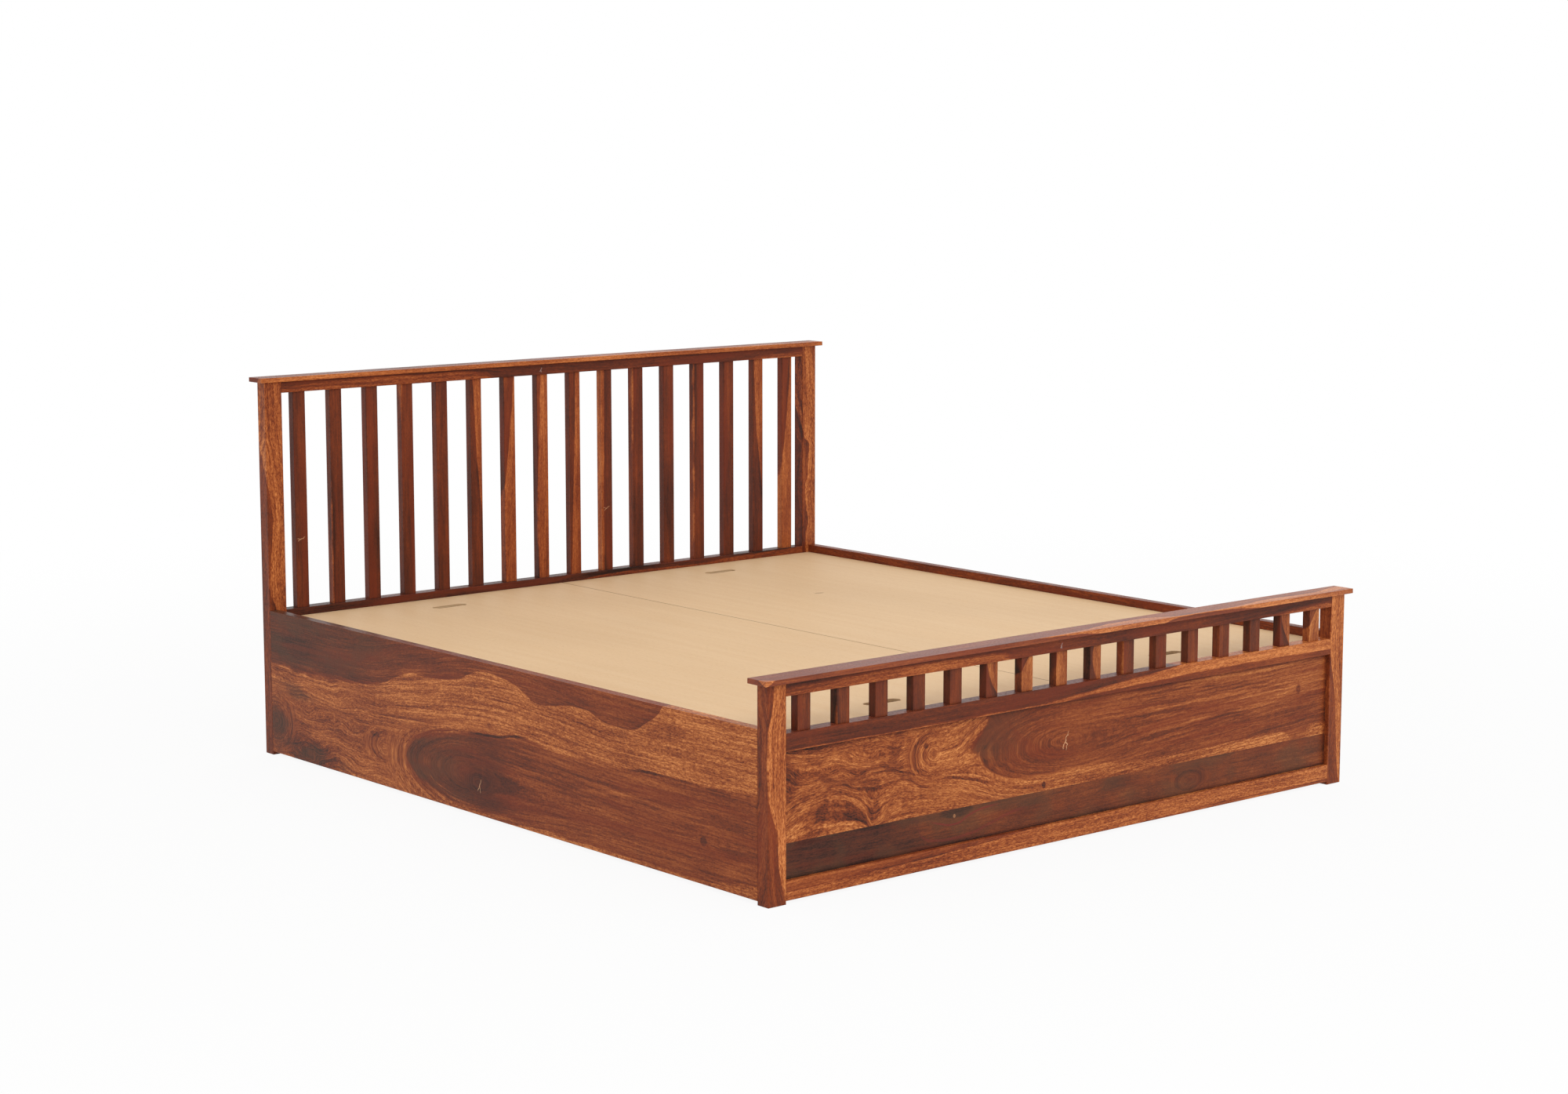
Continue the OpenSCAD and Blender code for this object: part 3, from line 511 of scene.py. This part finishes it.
def foot_board_figure(f, a, b, c):
    """The footboard's wide panel board. Honey wood with curls and an arch of heartwood on the left, then
    a ringed field of heartwood to the right, with a honey streak along the glue line."""
    low, high = foot_board_borders(f, a)
    field = (b - low).least(high - b)
    height = foot_board_curves(f, a, b)
    bay, far_bay, _ = f.knot(a, b, (-0.455, 0.269), (0.06, 0.045))
    left_of_bay = f.rise(a, -0.425, -0.46)
    heart, far_heart, bow_heart = f.knot(a, b, (-0.04, 0.243), (0.4, 0.09), bow=0.75, tail=0.26)
    rings = [(f.rise(heart, 0.1, 0.28) * f.rise(a, 0.12, -0.08) * f.rise(field, -0.01, 0.01), far_heart),
             (f.rise(bay, 0.07, 0.16) * left_of_bay, far_bay)]
    tongue = f.hill(a, b, (-0.39, 0.262), (0.08, 0.045))
    toe = f.hill(a, b, (-0.9, 0.262), (0.045, 0.06))
    glow = f.hill(a, b, (0.7, 0.258), (0.16, 0.03))
    dot = f.hill(a, b, (-0.105, 0.146), (0.0075, 0.012))
    bar = f.hill(a, b, (0.796, 0.26), (0.01, 0.017))
    curls = (f.noise(a * 9.0 + 3.0, b * 16.0, None, 1.0) - 0.5) * f.rise(a, -0.38, -0.58)
    straight = b + bow_heart + 0.07 - a * f.rise(a, 0.0, 0.4) * 0.03
    flow = (height + (straight - height) * f.rise(a, -0.3, -0.1) + c * 0.5
            + curls * (f.rise(b, 0.16, 0.26) * 0.04))
    patches = f.noise(a * 13.0 + 8.0, height * 24.0, None, 2.0, 0.6)
    patches = f.rise(patches, 0.5, 0.62) * f.rise(a, -0.42, -0.54)
    broken = f.rise(f.noise(a * 14.0, b * 20.0, None, 1.0), 0.34, 0.52)
    arch = (f.rise(height + curls * 0.02, 0.13, 0.142) * f.rise(height + curls * 0.01, 0.1665, 0.1645)
            * f.rise(a, -0.652, -0.662) * f.rise(a, -0.87, -0.79))
    first = f.rise(abs(height - 0.204), 0.0055, 0.0015) * f.rise(abs(a + 0.61), 0.15, 0.11) * broken
    second = f.rise(abs(height - 0.24), 0.005, 0.001) * f.rise(abs(a + 0.57), 0.1, 0.05) * 0.7
    third = f.rise(abs(height - 0.228), 0.006, 0.002) * f.rise(abs(a + 0.35), 0.09, 0.05)
    long_lines = first.most(second).most(third)
    curve = f.rise(abs(far_bay - 0.045), 0.011, 0.003) * left_of_bay * f.rise(bay, 0.07, 0.12)
    # The wood is darker where the panel meets the frame round it: painted shade of the recess
    shade = (arch * 0.2 + long_lines * 0.3 + curve * 0.2 - f.rise(bay, 0.5, 0.9) * 0.08 - 0.03
             + patches * 0.16 + f.rise(b, 0.322, 0.332) * f.rise(a, -0.64, -0.76) * 0.2
             + f.rise(heart, 0.5, 0.9) * 0.04
             + f.rise(field, 0.0, 0.012) * f.rise(a, 0.05, -0.2) * 0.13
             - f.rise(a, 0.1, 0.8) * f.rise(b, 0.2, 0.3) * 0.08 - f.rise(glow, 0.2, 0.9) * 0.08
             + f.rise(b - low, 0.001, -0.003) * f.rise(a, -0.3, 0.6) * 0.03
             - f.rise(tongue, 0.2, 0.8) * 0.09 + f.rise(toe + curls * 0.5, 0.15, 0.45) * 0.26
             + panel_recess_shade(f, a, b))
    spots = f.rise(dot, 0.25, 0.6).most(f.rise(bar, 0.2, 0.6) * 0.6)
    spots = spots.most(f.spot(a, b, (-0.48, 0.29), (0.008, 0.006)) * 0.8)
    split = crack(f, a, b, (-0.034, 0.243), 0.026, 0.45)
    shaded = f.rise(field + curls * 0.02, 0.0, 0.02) * f.rise(a, -0.12, -0.28) * f.rise(b, 0.2, 0.27)
    return {"flow": flow, "rings": rings, "soft": field, "fringe": f.rise(a, -0.12, -0.3) * 0.12 + 0.01,
            "bold": f.rise(a, -0.1, 0.3) * 0.5 + 1.05 - rings[0][0] * 0.25, "shade": shade + spots * 0.4,
            "marks": [(shaded * 0.4, OLIVE), (split * 0.85, CRACK)]}


def top_rail_figure(low, face):
    """A top rail: brown with honey streaks along its lower half on the left, heartwood from there on, and
    honey again at the right end's lower edge."""

    def figure(f, a, b, c):
        border = f.line(a, [(-0.9, 0.008), (-0.7, 0.016), (-0.5, 0.019), (-0.35, 0.017), (-0.25, 0.01),
                            (-0.15, -0.012), (0.5, -0.012), (0.75, 0.002), (0.9, 0.01)])
        inside = b - border - low + (c - face) * 0.3
        dent = crack(f, a, b, (-0.065, low + 0.014), 0.008, 0.5) * 0.6
        return {"flow": b - border * 0.4 + c * 0.4, "soft": inside, "fringe": 0.04,
                "shade": f.rise(inside, 0.0, 0.012) * 0.14 + 0.06,
                "marks": [(dent, linear(186, 170, 166))]}

    return figure


def slat_rail_figure(f, a, b, c):
    """The footboard's slat rail: dark heartwood above, a honey streak that starts at its middle and runs
    up to the right, and red-brown wood below that."""
    above = f.line(a, [(-0.9, 0.3405), (-0.5, 0.3395), (-0.1, 0.343), (0.0, 0.351), (0.15, 0.361),
                       (0.3, 0.371), (0.4, 0.380), (0.9, 0.384)])
    below = f.line(a, [(-0.9, 0.330), (-0.15, 0.334), (0.0, 0.341), (0.2, 0.348), (0.5, 0.353),
                       (0.9, 0.352)])
    edge = (b - above).most(below - b)
    return {"flow": b - (above + below) * 0.4 + (c + HALF_L) * 0.3, "edge": edge,
            "shade": f.rise(b - above, 0.0, 0.004) * 0.1 - f.rise(a, 0.0, 0.3) * 0.1}


def bottom_rail_figure(f, a, b, c):
    """The footboard's bottom rail: red-brown above on the left, honey along the middle, and a red-brown
    strip below on the right."""
    above = f.line(a, [(-0.9, 0.028), (-0.6, 0.034), (-0.3, 0.043), (-0.1, 0.054), (0.9, 0.06)])
    below = f.line(a, [(-0.9, 0.0), (-0.1, 0.0), (0.1, 0.004), (0.3, 0.012), (0.6, 0.016), (0.9, 0.014)])
    edge = (b - above).most(below - b)
    return {"flow": b - (above + below) * 0.3 + (c + HALF_L) * 0.3, "edge": edge,
            "shade": f.rise(edge, 0.0, 0.002) * -0.2 - f.rise(a, -0.1, 0.2) * 0.09 + 0.02}


def cap_figure(name, depths, slant):
    """A cap. The (along, depth) points give how deep in the heartwood the middle of its front edge is, and
    honey wood reaches back from that edge where the depth is below 0. The border slants through the cap's
    thickness."""
    (_, front, low), (_, _, high) = box(name)
    middle = (low + high) / 2

    def figure(f, a, b, c):
        depth = f.line(a, depths)
        # The top face is darker on the left, partly for its wood and partly as painted shade where its
        # sheen is weaker
        left_top_wood_and_shade = f.rise(a, 0.2, -0.4) * f.rise(b, front + 0.001, front + 0.008)
        return {"flow": b + c * 1.3 + depth * 0.5, "shade": left_top_wood_and_shade * 0.08 - 0.115,
                "edge": depth + (c - middle) * slant + (b - front) * 0.8}

    return figure


def put(name, material):
    """Gives a CAD node its finish."""
    mesh = nodes[name].data
    mesh.materials.clear()
    mesh.materials.append(material)


def plywood(name, axes, seed, joint=0.0, marks=()):
    """Sanded plywood for one sheet. axes names the axis across the grain, the one along it and the one
    through the sheet. The faces show long soft veins and fine short flecks. The edges show seven plies,
    light and dark in turn, from a sharpened sine of the depth. joint is how dark the rims are where two
    sheets meet at 0 across the grain, and marks are stains with their middle, half size and colour."""
    f = Finish(f"{name}_ply")
    low, high = (corner["xyz".index(axes[2])] for corner in box(name))
    place = dict(zip("xyz", f.place()))
    across, along, depth = (place[axis] for axis in axes)
    veins = f.noise(across * 38.0 + seed, along * 1.6, None, 3.0, 0.55)
    flecks = f.noise(across * 520.0 + seed, along * 60.0, None, 1.0)
    clouds = f.noise(across * 2.4 + seed, along * 1.3, None, 2.0)
    plies = f.rise(((depth - low) * (7 * math.pi / (high - low))).wave(), -0.1, -0.45)
    colour = f.blend(f.rise(veins, 0.25, 0.75), linear(238, 202, 158), linear(235, 197, 151))
    colour = f.blend(f.rise(clouds, 0.3, 0.8) * 0.3, colour, linear(220, 182, 138))
    colour = f.blend(f.rise(flecks, 0.6, 0.78) * 0.18, colour, linear(176, 130, 86))
    colour = f.blend(plies * 0.6, colour, linear(148, 100, 62))
    if joint:
        colour = f.blend(f.rise(abs(across), 0.0022, 0.0008) * joint, colour, linear(138, 96, 60))
    for middle, size, stain in marks:
        colour = f.blend(f.spot(across, along, middle, size) * 0.5, colour, stain)
    rough = flecks * 0.1 + 0.52
    bump = f.node("ShaderNodeBump", {}, 0.2, 0.0002, None, veins * 0.3 - flecks)
    return f.shade(colour, rough, bump, Specular_IOR_Level=0.2)


def softwood(name, seed, ends=None):
    """Planed pale wood for the ledges inside the box, with straight grain lines along y. Past the ends,
    which are a distance from the middle of the box, they run along x."""
    f = Finish(name)
    x, y, z = f.place()
    lines = f.noise(y * 1.2 + seed, x * 160.0, z * 160.0, 2.0)
    clouds = f.noise(y * 2.0 + seed, x * 9.0, z * 9.0, 1.0)
    if ends:
        turned = f.noise(x * 1.2 + seed, y * 160.0, z * 160.0, 2.0)
        lines = lines + (turned - lines) * f.rise(abs(y), ends - 0.0005, ends + 0.0005)
    colour = f.blend(f.rise(lines, 0.35, 0.65), linear(214, 168, 112), linear(186, 134, 80))
    colour = f.blend(f.rise(clouds, 0.4, 0.8) * 0.4, colour, linear(160, 108, 62))
    bump = f.node("ShaderNodeBump", {}, 0.2, 0.0003, None, lines)
    return f.shade(colour, lines * 0.15 + 0.45, bump, Specular_IOR_Level=0.35)


def zinc_steel(name):
    """Zinc-plated steel: a faint mottle in its tone and its gloss."""
    f = Finish(name)
    x, y, z = f.place()
    mottle = f.noise(x * 60.0, y * 60.0, z * 60.0, 3.0)
    brushed = f.noise(x * 900.0, y * 900.0, z * 30.0, 1.0)
    colour = f.blend(f.rise(mottle, 0.3, 0.7), linear(196, 198, 202), linear(168, 171, 176))
    bump = f.node("ShaderNodeBump", {}, 0.15, 0.0002, None, brushed)
    return f.shade(colour, mottle * 0.25 + 0.22, bump, Metallic=1.0)


def put_post(name, steps, lean, seed, tone=0.0, tilt=0.5, shade=0.0, left_wood_and_shade=0.0):
    """A post. The steps follow the border between dark and honey wood up its front face, in mm from the
    post's left edge. The last argument is how much darker its left face is, partly for its wood and
    partly as painted shade."""
    left, face, _ = box(name)[0]
    flanks = (left, left_wood_and_shade, 0.0) if left_wood_and_shade else None
    figure = strip(border_points(left, steps), -1, face, lean, tilt, shade, flanks)
    put(name, rosewood(f"{name}_wood", "zxy", figure, seed, tone))


put_post("foot_left_post", [
    (0.0, 50), (0.061, 33), (0.105, 26), (0.148, 25), (0.187, 16), (0.214, 8), (0.248, 0), (0.32, -4),
    (0.388, 0), (0.431, 12), (0.488, 19)], lean=1.0, seed=3.0, tone=-0.02)
put_post("foot_right_post", [
    (0.0, 44), (0.06, 34), (0.2, 26), (0.27, 14), (0.33, 4), (0.40, 1), (0.488, 4)],
    lean=0.5, seed=11.0, shade=-0.09)
put_post("head_left_post", [
    (0.0, 30), (0.388, 20), (0.44, 4), (0.506, 6), (0.609, 14), (0.686, 8), (0.74, -4), (0.81, -26),
    (0.87, -50), (0.992, -60)], lean=0.9, seed=23.0, tone=0.03, shade=-0.02)
put_post("head_right_post", [
    (0.0, 20), (0.372, 11), (0.419, 12), (0.446, 19), (0.465, 22), (0.5, 14), (0.57, 10), (0.592, 17),
    (0.65, 22), (0.69, 26), (0.713, 8), (0.74, 1), (0.77, -8), (0.817, -22), (0.87, -40), (0.992, -60)],
    lean=0.6, seed=37.0, tone=-0.03, tilt=-0.5, left_wood_and_shade=0.14)


def put_cap(name, depths, slant, seed, tone=0.0, polish=0.13):
    """A cap, with quieter growth lines than the boards."""
    figure = cap_figure(name, depths, slant)
    put(name, rosewood(f"{name}_wood", "xyz", figure, seed, tone, grain=0.7, polish=polish))


put_cap("foot_cap", [
    (-0.97, -0.014), (-0.955, -0.004), (-0.93, 0.010), (-0.5, 0.016), (-0.2, 0.010), (-0.03, 0.002),
    (0.08, -0.012), (0.18, -0.02), (0.28, -0.008), (0.36, 0.006), (0.5, 0.004), (0.6, -0.006),
    (0.7, -0.014), (0.8, -0.008), (0.9, -0.02), (0.97, -0.03)], slant=-1.6, seed=5.0, polish=0.23)
put_cap("head_cap", [
    (-0.97, -0.016), (-0.9, -0.010), (-0.7, -0.012), (-0.3, -0.018), (0.0, -0.012), (0.3, -0.022),
    (0.6, -0.016), (0.8, -0.024), (0.97, -0.016)], slant=0.6, seed=15.0, tone=0.07)

# The rails between the posts
for name, seed, tone in (("foot_top_rail", 7.0, 0.0), ("head_top_rail", 8.5, 0.04)):
    _, face, low = box(name)[0]
    put(name, rosewood(f"{name}_wood", "xzy", top_rail_figure(low, face), seed, tone, grain=0.75))
put("foot_slat_rail", rosewood("foot_slat_rail_wood", "xzy", slat_rail_figure,
                               seed=9.0, tone=0.05, grain=0.7))
head_slat_rail_figure = strip([
    (-0.9, 0.340), (-0.1, 0.344), (0.05, 0.362), (0.2, 0.376), (0.45, 0.372), (0.65, 0.380), (0.9, 0.386)],
    side=1, face=INNER_Y, lean=0.3)
put("head_slat_rail", rosewood("head_slat_rail_wood", "xzy", head_slat_rail_figure,
                               seed=19.0, tone=0.3, grain=0.7))
put("foot_bottom_rail", rosewood("foot_bottom_rail_wood", "xzy", bottom_rail_figure, seed=13.0))
put("head_bottom_rail", rosewood("head_bottom_rail_wood", "xzy", wandering(
    level=0.03, swing=0.08, knot=(-0.2, 0.02), seed=4.0), seed=29.0))

# The panels and the planks of the box
put("foot_panel_upper_board", rosewood("foot_upper_board_wood", "xzy", foot_board_figure,
                                       seed=1.0, warm=0.4, curl=0.007))
put("foot_panel_lower_board", rosewood("foot_lower_board_wood", "xzy", low_board_figure,
                                       seed=2.0, tone=0.05, warm=-0.4, grain=0.55))
put("head_panel_upper_board", rosewood("head_upper_board_wood", "xzy", wandering(
    level=0.24, swing=0.3, knot=(0.3, 0.2), seed=2.0), seed=41.0))
put("head_panel_lower_board", rosewood("head_lower_board_wood", "xzy", wandering(
    level=0.0, swing=0.1, knot=(-0.4, 0.1), seed=6.0), seed=43.0))
put("left_side_rail", rosewood("left_rail_wood", "yzx", left_rail_figure, tone=-0.02, warm=0.6))
put("right_side_rail", rosewood("right_rail_wood", "yzx", wandering(
    level=0.16, swing=0.34, knot=(-0.35, 0.2), seed=8.0), seed=47.0))

# The slats. For each: on which side of the border the heartwood lies; how much darker the whole slat and
# its left face are, the left face partly for its wood and partly as painted shade; and the border's
# distance from the slat's middle line in mm at the bottom, a third and two thirds up, and at the top, in
# the head frame and in the foot frame. A slat that isn't named is heartwood all through.
SLAT_BORDERS = {
    2: (1, 0.08, 0.08, (-16, -17, -19, -24), (-18, -18, -19, -19)),
    4: (1, 0.1, 0.1, (-30, -28, -22, -13), (-26, -25, -24, -23)),
    6: (-1, 0.09, 0.12, (30, 17, 0, -9), (20, 4, -8, -14)),
    7: (-1, -0.02, 0.3, (-32, -26, -4, 14), (-32, -26, -14, 6)),
    8: (-1, 0.02, 0.26, (-16, -19, -12, -6), (-22, -21, -18, -16)),
    9: (-1, 0.06, 0.14, (-14, -10, -2, 2), (4, -4, -9, -4)),
    10: (1, 0.06, 0.0, (-12, -12, -10, -8), (-17, -17, -16, -16)),
    11: (1, 0.1, 0.0, (-20, -19, -17, -16), (-22, -21, -20, -20)),
    13: (1, 0.03, 0.0, (-19, -17, -17, -17), (-19, -18, -17, -17)),
    15: (-1, 0.09, 0.12, (28, 15, -6, -14), (18, 2, -9, -14)),
    16: (-1, -0.03, 0.14, (-30, -24, -2, 15), (-30, -24, -10, 9)),
}
SLAT_HEART = (1, 0.09, 0.1, (-40, -42, -42, -40), (-40, -42, -42, -40))
# Slats that are darker in the foot frame, slats that get darker than others towards the platform in the
# head frame, and the places of two pale cracks
DARKER_AT_FOOT = (7, 8, 9, 16)
DARKER_LOW_DOWN = (8, 9)
SPLITS = {"head_slat_1": (0.569, -0.847), "head_slat_10": (0.564, 0.167)}


def slat_figure(end, i):
    """The figure of one slat in the head or the foot frame. Its left face is darker, partly for its wood
    and partly as painted shade, and more so in the foot frame. The head frame's slats get darker towards
    the platform."""
    name = f"{end}_slat_{i}"
    side, shade, left_wood_and_shade, head_border, foot_border = SLAT_BORDERS.get(i, SLAT_HEART)
    if end == "head":
        border = head_border
        left_wood_and_shade = left_wood_and_shade - 0.04
        low_dark = 0.16 if i in DARKER_LOW_DOWN else 0.1
    else:
        border = foot_border
        left_wood_and_shade = left_wood_and_shade + 0.05
        low_dark = 0.0
        if i in DARKER_AT_FOOT:
            shade = shade + 0.04
    middle = -INNER_X + (i - 0.5) * PITCH
    face = box(name)[0][1]
    low, high = box(f"{end}_slat_rail")[1][2], box(f"{end}_top_rail")[0][2]
    points = border_points(middle, zip(np.linspace(low, high, 4).tolist(), border))
    # The left face's darkening is partly its wood and partly painted shade
    flanks = (middle - SLAT_W / 2, left_wood_and_shade, low_dark)
    return strip(points, side, face, lean=0.2, tilt=0.7, shade=shade, flanks=flanks,
                 split=SPLITS.get(name))


for end, seed, warm in (("head", 50.0, 0.8), ("foot", 111.0, 0.3)):
    for i in range(1, SLATS + 1):
        name = f"{end}_slat_{i}"
        put(name, rosewood(f"{name}_wood", "zxy", slat_figure(end, i), seed + i * 3.1,
                           warm=warm, grain=0.55))

# The platform, the partitions and the storage floor are plywood
stain = ((0.435, 0.39), (0.016, 0.008), linear(170, 124, 84))
put("left_lid", plywood("left_lid", "xyz", seed=1.0, joint=0.8))
put("right_lid", plywood("right_lid", "xyz", seed=4.0, joint=0.8, marks=[stain]))
for name, axes, seed in (("centre_divider", "zyx", 7.0), ("cross_divider", "zxy", 9.0),
                         ("left_storage_floor", "xyz", 12.0), ("right_storage_floor", "xyz", 16.0)):
    put(name, plywood(name, axes, seed))
put("lid_cleats", softwood("lid_cleat_wood", seed=2.0, ends=INNER_Y - END_CLEAT_W))
put("floor_cleats", softwood("floor_cleat_wood", seed=6.0))
put("corner_brackets", zinc_steel("bracket_steel"))
put("wood_screws", zinc_steel("screw_steel"))


def studio_floor():
    """A pale floor, 80 m square. What the camera and the gloss see is mostly plain white. The rest is
    matt white, which takes the bed's shadow. Far from the bed it is all plain white."""
    reach = 40.0
    square = [(-reach, -reach, 0), (reach, -reach, 0), (reach, reach, 0), (-reach, reach, 0)]
    mesh = bpy.data.meshes.new("studio_floor")
    mesh.from_pydata(square, [], [(0, 1, 2, 3)])
    floor = bpy.data.objects.new("studio_floor", mesh)
    bpy.context.scene.collection.objects.link(floor)
    f = Finish("studio_floor")
    x, y, _ = f.place()
    far = f.rise((x * x + y * y) ** 0.5, 1.6, 5.0)
    matt = f.node("ShaderNodeBsdfDiffuse", {}, linear(236, 235, 233))
    white = f.node("ShaderNodeEmission", {}, (1, 1, 1, 1), 1.0)
    share = seen(f) * (far * 0.08 + 0.92)
    f.node("ShaderNodeOutputMaterial", {}, f.node("ShaderNodeMixShader", {}, share, matt, white))
    mesh.materials.append(f.owner)


def seen(f):
    """1 for what the camera, the gloss and clear things see, 0 for the light that falls on the bed."""
    camera = f.node("ShaderNodeLightPath", {})
    return camera.most(camera.beside("Is Glossy Ray")).most(camera.beside("Is Transmission Ray"))


def studio_light():
    """An even white room and one big soft lamp, high up in front of the foot end and left of its middle."""
    world = bpy.data.worlds.new("studio")
    bpy.context.scene.world = world
    f = Finish("studio", world)
    even = f.node("ShaderNodeBackground", {}, (1, 1, 1, 1), 0.8)
    white = f.node("ShaderNodeBackground", {}, (1, 1, 1, 1), 1.0)
    f.node("ShaderNodeOutputWorld", {}, f.node("ShaderNodeMixShader", {}, seen(f), even, white))
    lamp = bpy.data.lights.new("soft_lamp", "AREA")
    lamp.shape = "DISK"
    lamp.size = 3.5
    lamp.energy = 90.0
    holder = bpy.data.objects.new("soft_lamp", lamp)
    bpy.context.scene.collection.objects.link(holder)
    holder.location = (-1.4, -5.2, 4.3)
    holder.rotation_euler = aim(holder.location, (0.0, 0.0, 0.4))


def aim(eye, target):
    """Euler angles that turn -Z from the eye to the target, with Y kept upwards."""
    return (Vector(target) - Vector(eye)).to_track_quat("-Z", "Y").to_euler()


def camera():
    """The photograph's view, from fitting the bed's corners to it: 40.3 degrees round from the foot end
    towards the left side."""
    lens = bpy.data.cameras.new("camera")
    lens.sensor_fit = "HORIZONTAL"
    lens.sensor_width = 36.0
    lens.lens = 69.62
    lens.clip_end = 200.0
    holder = bpy.data.objects.new("camera", lens)
    bpy.context.scene.collection.objects.link(holder)
    holder.location = (-5.0295, -5.8978, 1.7137)
    holder.rotation_euler = (math.radians(81.68), 0.0, math.radians(-40.32))
    bpy.context.scene.camera = holder


studio_floor()
studio_light()
camera()
bpy.context.scene.view_settings.view_transform = "Standard"
